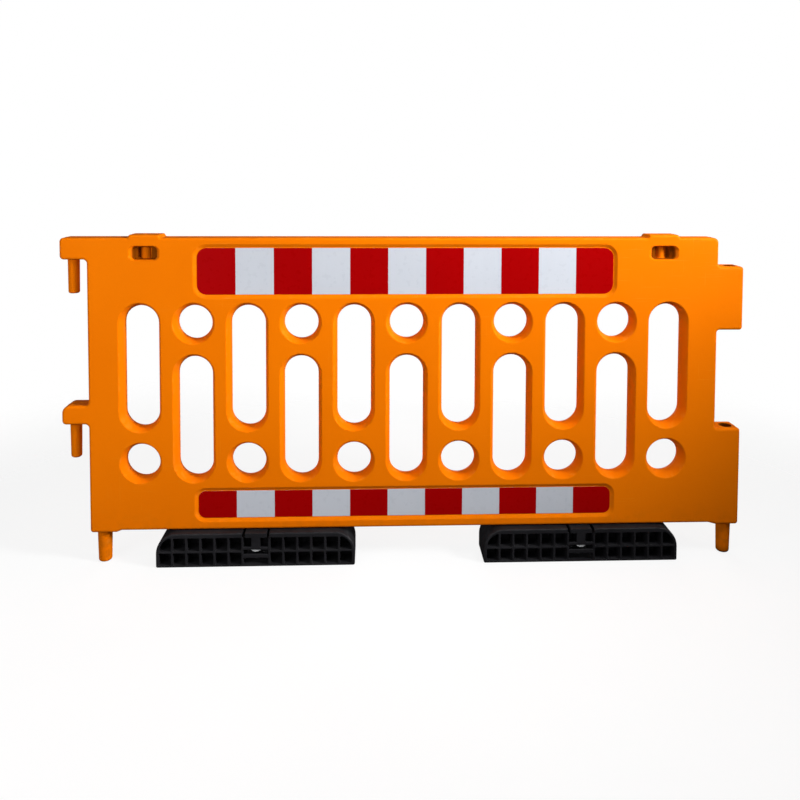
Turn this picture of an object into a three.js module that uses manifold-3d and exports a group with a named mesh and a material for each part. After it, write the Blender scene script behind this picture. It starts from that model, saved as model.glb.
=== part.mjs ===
// Linkable road-works barrier: a hollow blow-moulded panel on two swivelling feet.
// Millimetres, +Z up, +X along the panel, -Y is the front. The origin lies on the ground, in the middle.

import * as THREE from 'three';
import * as BufferGeometryUtils from 'three/addons/utils/BufferGeometryUtils.js';
import Module from 'manifold-3d';

const wasm = await Module();
wasm.setup();

// ---------- driving dimensions ----------

// Linking: each link pin stands one pitch away from the socket that the next barrier's pin drops into.
const LINK_PITCH = 2000;
const SOCKET_X = 999;
const LINK_PIN_X = SOCKET_X - LINK_PITCH;
const PANEL_HALF_LENGTH = 952;
const OVERALL_HALF_LENGTH = 1031;

// Heights above the ground.
const PANEL_BOTTOM = 106;
const PANEL_TOP = 991;
const LAMP_PAD_TOP = 1000;
const CORNER_BOSS_BOTTOM = 100;
const UPPER_ARM_BOTTOM = 926;
const MIDDLE_ARM_TOP = 487;
const MIDDLE_ARM_BOTTOM = 430;
const UPPER_BLOCK_TOP = 903;
const UPPER_BLOCK_BOTTOM = 708;
const LOWER_BLOCK_TOP = 402;

// The moulding.
const PANEL_THICKNESS = 72;
const HALF_THICKNESS = PANEL_THICKNESS / 2;
const WALL = 3.6;
const EDGE_FILLET = 8;
const CAVITY_FILLET = 4;
const CORNER = 12;
const TOP_RIGHT_CORNER = 15;
const MIDDLE_ARM_CORNER = 22;
const BLOCK_CORNER = 9;
const CORNER_BOSS_SLOPE = 15;

// Windows: eleven columns, each with one slot and one round hole, narrowest at the parting plane.
const COLUMN_COUNT = 11;
const COLUMN_PITCH = 159.8;
const WINDOW_RADIUS = 52.4;
const WINDOW_FLARE = 12;
const UPPER_WINDOW_Z = 733.5;
const LOWER_WINDOW_Z = 310;
const SLOT_SPAN = 268.5;
const PARTING_LAND = 2;
const SLEEVE_WALL = 5;

// Reflective films in shallow recesses on both faces.
const FILM_BLOCK = 114.2;
const FILM_BLOCK_COUNT = 11;
const FILM_LENGTH = FILM_BLOCK * FILM_BLOCK_COUNT;
const FILM_THICKNESS = 0.5;
const RED_THICKNESS = 0.3;
const UPPER_STRIP = { name: 'upper', middle: 890.5, height: 140, corner: 22 };
const LOWER_STRIP = { name: 'lower', middle: 181.5, height: 82, corner: 20 };
const RECESS_MARGIN = 1.5;
const RECESS_DEPTH = 6;
const RECESS_SLOPE = 10;

// Lamp points: a raised pad, a blind window in each face and a tube for the lamp's bolt.
const LAMP_X = 783;
const LAMP_PAD_HALF = 44;
const LAMP_PAD_SLOPE = 11;
const LAMP_WINDOW_Z = 945;
const LAMP_WINDOW_WIDTH = 76;
const LAMP_WINDOW_HEIGHT = 34;
const LAMP_WINDOW_CORNER = 9;
const LAMP_WINDOW_FLARE = 7;
const LAMP_TUBE_RADIUS = 15;
const LAMP_BORE_RADIUS = 8;
const LAMP_BORE_BOTTOM = 915;

// Link pins, ground pins and sockets.
const LINK_PIN = { topRadius: 17, tipRadius: 16.2, chamfer: 4 };
const UPPER_PIN_TIP = 822;
const MIDDLE_PIN_TIP = 322;
const GROUND_PIN = { topRadius: 21.5, tipRadius: 19.5, chamfer: 7 };
const GROUND_PIN_TIP = 1;
const LEFT_GROUND_PIN_X = -919;
const SOCKET_RADIUS = 19;
const SOCKET_DEPTH = 120;
const DRAIN_RADIUS = 5;
const DRAIN_X = 260;

// Feet.
const FEET_MIDDLE = (LEFT_GROUND_PIN_X + SOCKET_X) / 2;
const FEET_SPREAD = 988;
const FOOT_HALF_LENGTH = 298;
const FOOT_WIDTH = 114;
const FOOT_HEIGHT = 103;
const FOOT_SHOULDER = 60;
const FOOT_CORNER = 5;
const FOOT_WEB = 6;
const FOOT_BOTTOM_BAND = 7;
const FOOT_TOP_BAND = 14;
const FOOT_END_BAND = 9;
const CELL_COLUMNS = 6;
const CELL_CORNER = 36;
const MIDDLE_WEB_Z = 46.5;

// The hub in the middle of each foot.
const POCKET_HALF = 37;
const NOTCH_HALF = 41;
const SHELF_BOTTOM = 31;
const SHELF_TOP = 39;
const SHELF_HALF_DEPTH = 17;
const BAR_BOTTOM = 27;
const BAR_TOP = 38;
const HUB_TUBE_RADIUS = 15;
const HUB_BORE_RADIUS = 9;
const CUP_OUTER_RADIUS = 33;
const CUP_INNER_RADIUS = 22;
const CUP_FLOOR = 99.6;
const ACCESS_RADIUS = 21;

// Pivot hardware.
const GAP = 0.2;
const BOLT_RADIUS = 6;
const BOLT_TIP = 140;
const HEAD_RADIUS = 17;
const HEAD_HEIGHT = 6;
const DRIVE_RADIUS = 5;
const DRIVE_DEPTH = 3.5;
const WASHER_RADIUS = 18;
const WASHER_THICKNESS = 2;
const CLEARANCE_RADIUS = 6.3;
const THRUST_RADIUS = 19;
const THRUST_BORE_RADIUS = 11.5;
const THRUST_THICKNESS = 1.6;
const BOSS_RADIUS = 20;
const BOSS_BOTTOM = CUP_FLOOR + THRUST_THICKNESS + 2 * GAP;
const INSERT_RADIUS = 11;
const INSERT_TOP = 146;
const POST_RADIUS = 16;
const POST_TOP = 152;

// ---------- materials ----------

const FINISHES = {
  panel: { color: 0xf07800, roughness: 0.42, metalness: 0 },
  foot: { color: 0x232326, roughness: 0.7, metalness: 0 },
  whiteFilm: { color: 0xd9dce2, roughness: 0.35, metalness: 0 },
  redFilm: { color: 0xa00404, roughness: 0.3, metalness: 0 },
  steel: { color: 0xb4b6ba, roughness: 0.35, metalness: 1 },
  brass: { color: 0xb58b3c, roughness: 0.4, metalness: 1 },
  nylon: { color: 0xe6e3da, roughness: 0.5, metalness: 0 },
};

// ---------- outlines, drawn in the XZ plane ----------

// A closed outline through corners [x, z, radius], each rounded with an arc of its radius.
function roundedOutline(corners) {
  const outline = new THREE.Shape();
  corners.forEach(([x, z, radius], index) => {
    const corner = new THREE.Vector2(x, z);
    const [previousX, previousZ] = corners.at(index - 1);
    const [nextX, nextZ] = corners[(index + 1) % corners.length];
    const back = new THREE.Vector2(previousX, previousZ).sub(corner).normalize();
    const ahead = new THREE.Vector2(nextX, nextZ).sub(corner).normalize();
    const halfAngle = Math.acos(back.dot(ahead)) / 2;
    const start = corner.clone().addScaledVector(back, radius / Math.tan(halfAngle));
    const end = corner.clone().addScaledVector(ahead, radius / Math.tan(halfAngle));
    const inwards = back.clone().add(ahead).normalize();
    const centre = corner.clone().addScaledVector(inwards, radius / Math.sin(halfAngle));
    const startAngle = start.clone().sub(centre).angle();
    const endAngle = end.clone().sub(centre).angle();
    const turnsClockwise = back.cross(ahead) > 0;
    if (index === 0) {
      outline.moveTo(start.x, start.y);
    } else {
      outline.lineTo(start.x, start.y);
    }
    outline.absarc(centre.x, centre.y, radius, startAngle, endAngle, turnsClockwise);
  });
  outline.closePath();
  return outline;
}

function roundedRectangle(width, height, middle, radius) {
  const [right, bottom, top] = [width / 2, middle - height / 2, middle + height / 2];
  return roundedOutline([
    [-right, bottom, radius],
    [right, bottom, radius],
    [right, top, radius],
    [-right, top, radius],
  ]);
}

// A capsule standing on end between two centres, or a circle where they are the same.
function capsule({ x, low, high }, radius) {
  const outline = new THREE.Shape();
  outline.absarc(x, high, radius, 0, Math.PI, false);
  outline.absarc(x, low, radius, Math.PI, 2 * Math.PI, false);
  outline.closePath();
  return outline;
}

function rectangle(left, right, bottom, top) {
  const outline = new THREE.Shape();
  outline.moveTo(left, bottom);
  outline.lineTo(right, bottom);
  outline.lineTo(right, top);
  outline.lineTo(left, top);
  outline.closePath();
  return outline;
}

// ---------- solids ----------

// Extrudes an outline along Y from nearY to farY; a bevel reaches past both.
function extrudeAlongY(outline, nearY, farY, options = {}) {
  const depth = farY - nearY;
  const geometry = new THREE.ExtrudeGeometry(outline, { depth, bevelEnabled: false, ...options });
  geometry.rotateX(Math.PI / 2);
  geometry.translate(0, farY, 0);
  return geometry;
}

// Turns a profile of [radius, z] points about the upright line at x.
function turned(profile, x = 0, segments = 24) {
  const points = [...profile, profile[0]].map(([radius, z]) => new THREE.Vector2(radius, z));
  const geometry = new THREE.LatheGeometry(points, segments);
  geometry.rotateX(Math.PI / 2);
  geometry.translate(x, 0, 0);
  return geometry;
}

function rod(x, bottom, top, radius, segments = 24) {
  const geometry = new THREE.CylinderGeometry(radius, radius, top - bottom, segments);
  geometry.rotateX(Math.PI / 2);
  geometry.translate(x, 0, (bottom + top) / 2);
  return geometry;
}

function ring(x, bottom, top, innerRadius, outerRadius) {
  return turned([[innerRadius, bottom], [outerRadius, bottom], [outerRadius, top], [innerRadius, top]], x);
}

function box([minX, minY, minZ], [maxX, maxY, maxZ]) {
  const geometry = new THREE.BoxGeometry(maxX - minX, maxY - minY, maxZ - minZ);
  geometry.translate((minX + maxX) / 2, (minY + maxY) / 2, (minZ + maxZ) / 2);
  return geometry;
}

function toManifold(geometry) {
  const bare = geometry.clone();
  bare.deleteAttribute('normal');
  bare.deleteAttribute('uv');
  const merged = BufferGeometryUtils.mergeVertices(bare, 1e-4);
  const corners = merged.index.array;
  const triangles = [];
  for (let first = 0; first < corners.length; first += 3) {
    const [a, b, c] = corners.slice(first, first + 3);
    if (a !== b && b !== c && c !== a) {
      triangles.push(a, b, c);
    }
  }
  return new wasm.Manifold(new wasm.Mesh({
    numProp: 3,
    vertProperties: new Float32Array(merged.attributes.position.array),
    triVerts: new Uint32Array(triangles),
  }));
}

function toGeometry(solid) {
  const mesh = solid.getMesh();
  const geometry = new THREE.BufferGeometry();
  geometry.setAttribute('position', new THREE.BufferAttribute(new Float32Array(mesh.vertProperties), 3));
  geometry.setIndex(new THREE.BufferAttribute(new Uint32Array(mesh.triVerts), 1));
  geometry.computeVertexNormals();
  return geometry;
}

function joined(geometries) {
  return geometries.map(toManifold).reduce((whole, piece) => whole.add(piece));
}

function part(name, geometry, finish) {
  const mesh = new THREE.Mesh(geometry, new THREE.MeshStandardMaterial(FINISHES[finish]));
  mesh.name = name;
  return mesh;
}

// ---------- panel ----------

function lampPadCorners(x) {
  return [
    [x + LAMP_PAD_HALF + LAMP_PAD_SLOPE, PANEL_TOP, CORNER],
    [x + LAMP_PAD_HALF, LAMP_PAD_TOP, CORNER],
    [x - LAMP_PAD_HALF, LAMP_PAD_TOP, CORNER],
    [x - LAMP_PAD_HALF - LAMP_PAD_SLOPE, PANEL_TOP, CORNER],
  ];
}

function panelOutline() {
  const [left, right] = [-PANEL_HALF_LENGTH, PANEL_HALF_LENGTH];
  const [armEnd, blockEnd] = [-OVERALL_HALF_LENGTH, OVERALL_HALF_LENGTH];
  const leftBossEnd = 2 * LEFT_GROUND_PIN_X - left + CORNER;
  const rightBossEnd = right + CORNER_BOSS_SLOPE;
  return roundedOutline([
    [left, CORNER_BOSS_BOTTOM, BLOCK_CORNER],
    [leftBossEnd, CORNER_BOSS_BOTTOM, CORNER],
    [leftBossEnd + CORNER_BOSS_SLOPE, PANEL_BOTTOM, CORNER],
    [right, PANEL_BOTTOM, CORNER],
    [rightBossEnd, CORNER_BOSS_BOTTOM, CORNER],
    [blockEnd, CORNER_BOSS_BOTTOM, BLOCK_CORNER],
    [blockEnd, LOWER_BLOCK_TOP, BLOCK_CORNER],
    [right, LOWER_BLOCK_TOP, BLOCK_CORNER],
    [right, UPPER_BLOCK_BOTTOM, BLOCK_CORNER],
    [blockEnd, UPPER_BLOCK_BOTTOM, BLOCK_CORNER],
    [blockEnd, UPPER_BLOCK_TOP, BLOCK_CORNER],
    [right, UPPER_BLOCK_TOP, BLOCK_CORNER],
    [right, PANEL_TOP, TOP_RIGHT_CORNER],
    ...lampPadCorners(LAMP_X),
    ...lampPadCorners(-LAMP_X),
    [armEnd, PANEL_TOP, CORNER],
    [armEnd, UPPER_ARM_BOTTOM, CORNER],
    [left, UPPER_ARM_BOTTOM, CORNER],
    [left, MIDDLE_ARM_TOP, CORNER],
    [armEnd, MIDDLE_ARM_TOP, MIDDLE_ARM_CORNER],
    [armEnd, MIDDLE_ARM_BOTTOM, CORNER],
    [left, MIDDLE_ARM_BOTTOM, CORNER],
  ]);
}

// The panel's outline as a solid with rounded face edges, inset on every side by the same amount.
function panelBlank(inset, fillet, curveSegments) {
  const flatHalf = HALF_THICKNESS - inset - fillet;
  return extrudeAlongY(panelOutline(), -flatHalf, flatHalf, {
    bevelEnabled: true,
    bevelThickness: fillet,
    bevelSize: fillet,
    bevelOffset: -inset - fillet,
    bevelSegments: 1,
    curveSegments,
  });
}

// Every window as its column and the centres of its two round ends. Slots are up in even columns.
function windows() {
  return Array.from({ length: COLUMN_COUNT }, (_, index) => {
    const x = (index - (COLUMN_COUNT - 1) / 2) * COLUMN_PITCH;
    const slotIsUp = index % 2 === 0;
    const slotLow = slotIsUp ? UPPER_WINDOW_Z - SLOT_SPAN : LOWER_WINDOW_Z;
    const holeZ = slotIsUp ? LOWER_WINDOW_Z : UPPER_WINDOW_Z;
    return [{ x, low: slotLow, high: slotLow + SLOT_SPAN }, { x, low: holeZ, high: holeZ }];
  }).flat();
}

// A window's cutter flares in a curve from the parting plane to both faces.
function windowCutter(window, extraRadius, bevelSegments, curveSegments) {
  const outline = capsule(window, WINDOW_RADIUS + WINDOW_FLARE + extraRadius);
  return extrudeAlongY(outline, -PARTING_LAND / 2, PARTING_LAND / 2, {
    bevelEnabled: true,
    bevelThickness: HALF_THICKNESS - PARTING_LAND / 2,
    bevelSize: -WINDOW_FLARE,
    bevelSegments,
    curveSegments,
  });
}

// Cutters for one recess in the front face and one in the rear, with sloping sides.
function faceRecesses(floor, depth, slope, curveSegments) {
  const bevel = { bevelEnabled: true, bevelThickness: depth, bevelSize: slope, bevelSegments: 1, curveSegments };
  const front = extrudeAlongY(floor, -HALF_THICKNESS - 1, -HALF_THICKNESS, bevel);
  const rear = extrudeAlongY(floor, HALF_THICKNESS, HALF_THICKNESS + 1, bevel);
  return [front, rear];
}

function filmRecesses({ middle, height, corner }) {
  const width = FILM_LENGTH + 2 * RECESS_MARGIN;
  const floor = roundedRectangle(width, height + 2 * RECESS_MARGIN, middle, corner + RECESS_MARGIN);
  return faceRecesses(floor, RECESS_DEPTH, RECESS_SLOPE, 2);
}

function lampWindows(x) {
  const width = LAMP_WINDOW_WIDTH;
  const outline = roundedRectangle(width, LAMP_WINDOW_HEIGHT, LAMP_WINDOW_Z, LAMP_WINDOW_CORNER);
  const cutters = faceRecesses(outline, HALF_THICKNESS - WALL, LAMP_WINDOW_FLARE, 2);
  return cutters.map((cutter) => cutter.translate(x, 0, 0));
}

function pinProfile({ topRadius, tipRadius, chamfer }, tip, top) {
  return [[0, tip], [tipRadius - chamfer, tip], [tipRadius, tip + chamfer], [topRadius, top], [0, top]];
}

const PINS = [
  { x: LINK_PIN_X, size: LINK_PIN, tip: UPPER_PIN_TIP, root: UPPER_ARM_BOTTOM },
  { x: LINK_PIN_X, size: LINK_PIN, tip: MIDDLE_PIN_TIP, root: MIDDLE_ARM_BOTTOM },
  { x: LEFT_GROUND_PIN_X, size: GROUND_PIN, tip: GROUND_PIN_TIP, root: CORNER_BOSS_BOTTOM },
  { x: SOCKET_X, size: GROUND_PIN, tip: GROUND_PIN_TIP, root: CORNER_BOSS_BOTTOM },
];

function pinSolid({ x, size, tip, root }) {
  return turned(pinProfile(size, tip, root + 1), x);
}

function pinCore({ x, size, tip, root }) {
  const hollow = { ...size, topRadius: size.topRadius - WALL, tipRadius: size.tipRadius - WALL };
  return turned(pinProfile(hollow, tip + WALL, root + 2 * WALL), x, 12);
}

const PIVOTS = { left: FEET_MIDDLE - FEET_SPREAD / 2, right: FEET_MIDDLE + FEET_SPREAD / 2 };

// What the cavity leaves standing where a wall, a tube or a post has to stay.
function keptWalls() {
  const strips = [UPPER_STRIP, LOWER_STRIP].flatMap(({ middle, height }) => [-1, 1].map((side) => {
    const reachX = FILM_LENGTH / 2 + RECESS_SLOPE + WALL;
    const reachZ = height / 2 + RECESS_SLOPE + WALL;
    const floorY = side * (HALF_THICKNESS - RECESS_DEPTH - WALL);
    const faceY = side * PANEL_THICKNESS;
    const [nearY, farY] = [Math.min(floorY, faceY), Math.max(floorY, faceY)];
    return box([-reachX, nearY, middle - reachZ], [reachX, farY, middle + reachZ]);
  }));
  const lamps = [-LAMP_X, LAMP_X].flatMap((x) => {
    const reachX = LAMP_WINDOW_WIDTH / 2 + LAMP_WINDOW_FLARE + WALL;
    const reachZ = LAMP_WINDOW_HEIGHT / 2 + LAMP_WINDOW_FLARE + WALL;
    const low = [x - reachX, -HALF_THICKNESS, LAMP_WINDOW_Z - reachZ];
    const high = [x + reachX, HALF_THICKNESS, LAMP_WINDOW_Z + reachZ];
    return [box(low, high), rod(x, LAMP_BORE_BOTTOM - WALL, LAMP_PAD_TOP, LAMP_TUBE_RADIUS, 12)];
  });
  const sockets = [UPPER_BLOCK_TOP, LOWER_BLOCK_TOP].map((top) => (
    rod(SOCKET_X, top - SOCKET_DEPTH - WALL, top, SOCKET_RADIUS + WALL)
  ));
  const posts = Object.values(PIVOTS).map((x) => rod(x, CORNER_BOSS_BOTTOM, POST_TOP, POST_RADIUS));
  const sleeves = windows().map((window) => windowCutter(window, SLEEVE_WALL, 1, 3));
  return [...strips, ...lamps, ...sockets, ...posts, ...sleeves];
}

function panelBody() {
  let cavity = toManifold(panelBlank(WALL, CAVITY_FILLET, 1));
  keptWalls().forEach((wall) => {
    cavity = cavity.subtract(toManifold(wall));
  });
  PINS.forEach((pin) => {
    cavity = cavity.add(toManifold(pinCore(pin)));
  });

  const bosses = Object.values(PIVOTS).map((x) => rod(x, BOSS_BOTTOM, PANEL_BOTTOM + WALL, BOSS_RADIUS));
  let body = joined([panelBlank(0, EDGE_FILLET, 2), ...PINS.map(pinSolid), ...bosses]);
  const cutters = [
    ...windows().map((window) => windowCutter(window, 0, 2, 4)),
    ...filmRecesses(UPPER_STRIP),
    ...filmRecesses(LOWER_STRIP),
    ...lampWindows(-LAMP_X),
    ...lampWindows(LAMP_X),
    ...[UPPER_BLOCK_TOP, LOWER_BLOCK_TOP].map((top) => rod(SOCKET_X, top - SOCKET_DEPTH, top + 1, SOCKET_RADIUS)),
    ...Object.values(PIVOTS).map((x) => rod(x, 0, INSERT_TOP + GAP, INSERT_RADIUS + GAP)),
    ...[-DRAIN_X, DRAIN_X].map((x) => rod(FEET_MIDDLE + x, 0, PANEL_BOTTOM + 2 * WALL, DRAIN_RADIUS, 12)),
  ];
  cutters.forEach((cutter) => {
    body = body.subtract(toManifold(cutter));
  });
  body = body.subtract(cavity);
  [-LAMP_X, LAMP_X].forEach((x) => {
    const middle = LAMP_WINDOW_Z;
    const reach = LAMP_WINDOW_HEIGHT;
    body = body.add(toManifold(rod(x, middle - reach, middle + reach, LAMP_TUBE_RADIUS)));
    body = body.subtract(toManifold(rod(x, LAMP_BORE_BOTTOM, LAMP_PAD_TOP + 1, LAMP_BORE_RADIUS, 16)));
  });
  return part('panel_body', toGeometry(body), 'panel');
}

// ---------- reflective films ----------

// Where a layer of film lies: it starts on the recess floor, or on the layer below it.
function filmLayer(outline, side, base, thickness) {
  const floor = HALF_THICKNESS - RECESS_DEPTH + base;
  const [nearY, farY] = side === 'front' ? [-floor - thickness, -floor] : [floor, floor + thickness];
  return extrudeAlongY(outline, nearY, farY, { curveSegments: 3 });
}

function redBlockOutline({ middle, height, corner }, index) {
  const left = index * FILM_BLOCK - FILM_LENGTH / 2;
  const right = left + FILM_BLOCK;
  const [bottom, top] = [middle - height / 2, middle + height / 2];
  const outline = new THREE.Shape();
  if (index === 0) {
    outline.moveTo(right, bottom);
    outline.lineTo(right, top);
    outline.absarc(left + corner, top - corner, corner, Math.PI / 2, Math.PI, false);
    outline.absarc(left + corner, bottom + corner, corner, Math.PI, 1.5 * Math.PI, false);
    outline.closePath();
    return outline;
  }
  if (index === FILM_BLOCK_COUNT - 1) {
    outline.moveTo(left, top);
    outline.lineTo(left, bottom);
    outline.absarc(right - corner, bottom + corner, corner, -Math.PI / 2, 0, false);
    outline.absarc(right - corner, top - corner, corner, 0, Math.PI / 2, false);
    outline.closePath();
    return outline;
  }
  return rectangle(left, right, bottom, top);
}

function filmStrip(strip, side) {
  const group = new THREE.Group();
  const sheet = roundedRectangle(FILM_LENGTH, strip.height, strip.middle, strip.corner);
  group.add(part(`film_${side}_${strip.name}`, filmLayer(sheet, side, 0, FILM_THICKNESS), 'whiteFilm'));
  for (let index = 0; index < FILM_BLOCK_COUNT; index += 2) {
    const outline = redBlockOutline(strip, index);
    const name = `red_block_${side}_${strip.name}_${index / 2 + 1}`;
    group.add(part(name, filmLayer(outline, side, FILM_THICKNESS, RED_THICKNESS), 'redFilm'));
  }
  return group;
}

// ---------- feet ----------

function footOutline() {
  const end = FOOT_HALF_LENGTH;
  return roundedOutline([
    [-end, 0, FOOT_CORNER],
    [end, 0, FOOT_CORNER],
    [end, FOOT_HEIGHT, FOOT_SHOULDER],
    [-end, FOOT_HEIGHT, FOOT_SHOULDER],
  ]);
}

// The outlines of the open cells on one side of the hub.
function cellOutlines(side) {
  const firstX = POCKET_HALF + FOOT_WEB;
  const lastX = FOOT_HALF_LENGTH - FOOT_END_BAND;
  const pitch = (lastX - firstX + FOOT_WEB) / CELL_COLUMNS;
  const lowerRow = [FOOT_BOTTOM_BAND, MIDDLE_WEB_Z - FOOT_WEB / 2];
  const upperRow = [MIDDLE_WEB_Z + FOOT_WEB / 2, FOOT_HEIGHT - FOOT_TOP_BAND];
  const cells = [];
  for (let index = 0; index < CELL_COLUMNS; index += 1) {
    const nearX = side * (firstX + index * pitch);
    const farX = side * (firstX + index * pitch + pitch - FOOT_WEB);
    const [left, right] = [Math.min(nearX, farX), Math.max(nearX, farX)];
    cells.push(rectangle(left, right, ...lowerRow));
    if (index < CELL_COLUMNS - 1) {
      cells.push(rectangle(left, right, ...upperRow));
    } else {
      cells.push(endCell(nearX, farX, ...upperRow));
    }
  }
  return cells;
}

// The end cell of the upper row follows the foot's round shoulder.
function endCell(nearX, farX, bottom, top) {
  const side = Math.sign(farX);
  const centreX = farX - side * CELL_CORNER;
  const centreZ = top - CELL_CORNER;
  const cell = new THREE.Shape();
  cell.moveTo(nearX, bottom);
  cell.lineTo(farX, bottom);
  cell.lineTo(farX, centreZ);
  cell.absarc(centreX, centreZ, CELL_CORNER, side > 0 ? 0 : Math.PI, Math.PI / 2, side < 0);
  cell.lineTo(nearX, top);
  cell.closePath();
  return cell;
}

function footBody() {
  const halfWidth = FOOT_WIDTH / 2;
  const cellTop = FOOT_HEIGHT - FOOT_TOP_BAND;
  const pocket = rectangle(-POCKET_HALF, POCKET_HALF, FOOT_BOTTOM_BAND, cellTop);
  const underShelf = rectangle(-POCKET_HALF, POCKET_HALF, FOOT_BOTTOM_BAND, SHELF_BOTTOM);
  let foot = toManifold(extrudeAlongY(footOutline(), -halfWidth, halfWidth, { curveSegments: 3 }));
  const cutAlongY = (outline, nearY, farY) => {
    foot = foot.subtract(toManifold(extrudeAlongY(outline, nearY, farY, { curveSegments: 3 })));
  };
  [...cellOutlines(-1), ...cellOutlines(1), pocket].forEach((outline) => {
    cutAlongY(outline, -halfWidth - 1, -FOOT_WEB / 2);
    cutAlongY(outline, FOOT_WEB / 2, halfWidth + 1);
  });
  cutAlongY(underShelf, -FOOT_WEB, FOOT_WEB);
  cutAlongY(rectangle(-NOTCH_HALF, NOTCH_HALF, cellTop - 1, FOOT_HEIGHT + 1), -halfWidth - 1, -FOOT_WEB);
  cutAlongY(rectangle(-NOTCH_HALF, NOTCH_HALF, cellTop - 1, FOOT_HEIGHT + 1), FOOT_WEB, halfWidth + 1);

  const reach = POCKET_HALF + 1;
  const additions = [
    box([-reach, -halfWidth, BAR_BOTTOM], [reach, FOOT_WEB - halfWidth, BAR_TOP]),
    box([-reach, halfWidth - FOOT_WEB, BAR_BOTTOM], [reach, halfWidth, BAR_TOP]),
    box([-reach, -SHELF_HALF_DEPTH, SHELF_BOTTOM], [reach, SHELF_HALF_DEPTH, SHELF_TOP]),
    rod(0, SHELF_BOTTOM, FOOT_HEIGHT, HUB_TUBE_RADIUS),
    rod(0, cellTop - 2 * FOOT_WEB, FOOT_HEIGHT, CUP_OUTER_RADIUS, 32),
  ];
  additions.forEach((addition) => {
    foot = foot.add(toManifold(addition));
  });
  const bores = [
    rod(0, SHELF_BOTTOM - 1, FOOT_HEIGHT + 1, HUB_BORE_RADIUS),
    rod(0, CUP_FLOOR, FOOT_HEIGHT + 1, CUP_INNER_RADIUS, 32),
    rod(0, -1, FOOT_BOTTOM_BAND + 1, ACCESS_RADIUS),
  ];
  bores.forEach((bore) => {
    foot = foot.subtract(toManifold(bore));
  });
  return toGeometry(foot);
}

// ---------- pivot hardware ----------

function pivotBolt() {
  const headTop = SHELF_BOTTOM - 2 * GAP - WASHER_THICKNESS;
  const headBottom = headTop - HEAD_HEIGHT;
  const body = toManifold(turned([
    [0, headBottom],
    [0.45 * HEAD_RADIUS, headBottom + 0.08 * HEAD_HEIGHT],
    [0.8 * HEAD_RADIUS, headBottom + 0.35 * HEAD_HEIGHT],
    [HEAD_RADIUS, headBottom + 0.85 * HEAD_HEIGHT],
    [HEAD_RADIUS, headTop],
    [BOLT_RADIUS, headTop],
    [BOLT_RADIUS, BOLT_TIP - 1],
    [BOLT_RADIUS - 1, BOLT_TIP],
    [0, BOLT_TIP],
  ]));
  const drive = rod(0, headBottom - 1, headBottom + DRIVE_DEPTH, DRIVE_RADIUS, 6);
  return toGeometry(body.subtract(toManifold(drive)));
}

function footAssembly(side) {
  const washerTop = SHELF_BOTTOM - GAP;
  const thrustBottom = CUP_FLOOR + GAP;
  const bushRadius = HUB_BORE_RADIUS - GAP;
  const washer = ring(0, washerTop - WASHER_THICKNESS, washerTop, CLEARANCE_RADIUS, WASHER_RADIUS);
  const bush = ring(0, SHELF_BOTTOM, CUP_FLOOR, CLEARANCE_RADIUS, bushRadius);
  const thrustTop = thrustBottom + THRUST_THICKNESS;
  const thrustWasher = ring(0, thrustBottom, thrustTop, THRUST_BORE_RADIUS, THRUST_RADIUS);
  const insert = ring(0, BOSS_BOTTOM + 2 * GAP, INSERT_TOP, CLEARANCE_RADIUS, INSERT_RADIUS);
  const group = new THREE.Group();
  group.add(part(`foot_${side}`, footBody(), 'foot'));
  group.add(part(`pivot_bush_${side}`, bush, 'nylon'));
  group.add(part(`pivot_bolt_${side}`, pivotBolt(), 'steel'));
  group.add(part(`pivot_washer_${side}`, washer, 'steel'));
  group.add(part(`thrust_washer_${side}`, thrustWasher, 'nylon'));
  group.add(part(`pivot_insert_${side}`, insert, 'brass'));
  group.position.x = PIVOTS[side];
  return group;
}

// ---------- assembly ----------

const barrier = new THREE.Group();
barrier.add(panelBody());
['front', 'rear'].forEach((side) => {
  barrier.add(filmStrip(UPPER_STRIP, side));
  barrier.add(filmStrip(LOWER_STRIP, side));
});
barrier.add(footAssembly('left'));
barrier.add(footAssembly('right'));

export default barrier;
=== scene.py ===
# The looks of a linkable road-works barrier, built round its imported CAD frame.
# Outlines are drawn in the XZ plane in millimetres; the front of the barrier faces -Y.

import math

import bmesh
import bpy
from mathutils import Matrix, Vector
from mathutils.geometry import delaunay_2d_cdt


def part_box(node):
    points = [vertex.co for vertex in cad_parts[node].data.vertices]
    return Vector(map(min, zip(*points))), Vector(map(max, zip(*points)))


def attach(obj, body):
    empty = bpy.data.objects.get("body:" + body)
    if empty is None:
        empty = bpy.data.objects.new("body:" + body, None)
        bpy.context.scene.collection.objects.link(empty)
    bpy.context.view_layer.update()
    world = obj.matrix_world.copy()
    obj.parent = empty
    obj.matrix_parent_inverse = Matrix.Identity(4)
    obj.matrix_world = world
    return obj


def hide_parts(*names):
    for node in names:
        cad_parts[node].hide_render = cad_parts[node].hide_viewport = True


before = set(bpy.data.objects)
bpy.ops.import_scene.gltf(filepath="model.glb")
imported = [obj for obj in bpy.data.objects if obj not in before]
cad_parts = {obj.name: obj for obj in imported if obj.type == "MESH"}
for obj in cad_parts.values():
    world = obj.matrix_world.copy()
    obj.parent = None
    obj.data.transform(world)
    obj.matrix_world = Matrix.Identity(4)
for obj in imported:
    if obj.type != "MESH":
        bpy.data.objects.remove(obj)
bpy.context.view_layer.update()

MM = 0.001
QUARTER = math.pi / 2
ARC_STEPS = 9
FILLET_STEPS = 6
TURNED_STEPS = 64
SMALLEST_RADIUS = 0.05
SMOOTH_ANGLE = math.radians(32)
INSIDE_WITH_HOLES = 2
SAME_POINT = 0.0001
WELD_DISTANCE = 0.002


def span(node):
    """The lowest and highest corners of a CAD node, in millimetres."""
    low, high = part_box(node)
    return Vector(low) / MM, Vector(high) / MM


def middle_x(node):
    """Where a CAD node's middle is along the panel, in millimetres."""
    low, high = span(node)
    return (low.x + high.x) / 2


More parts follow.
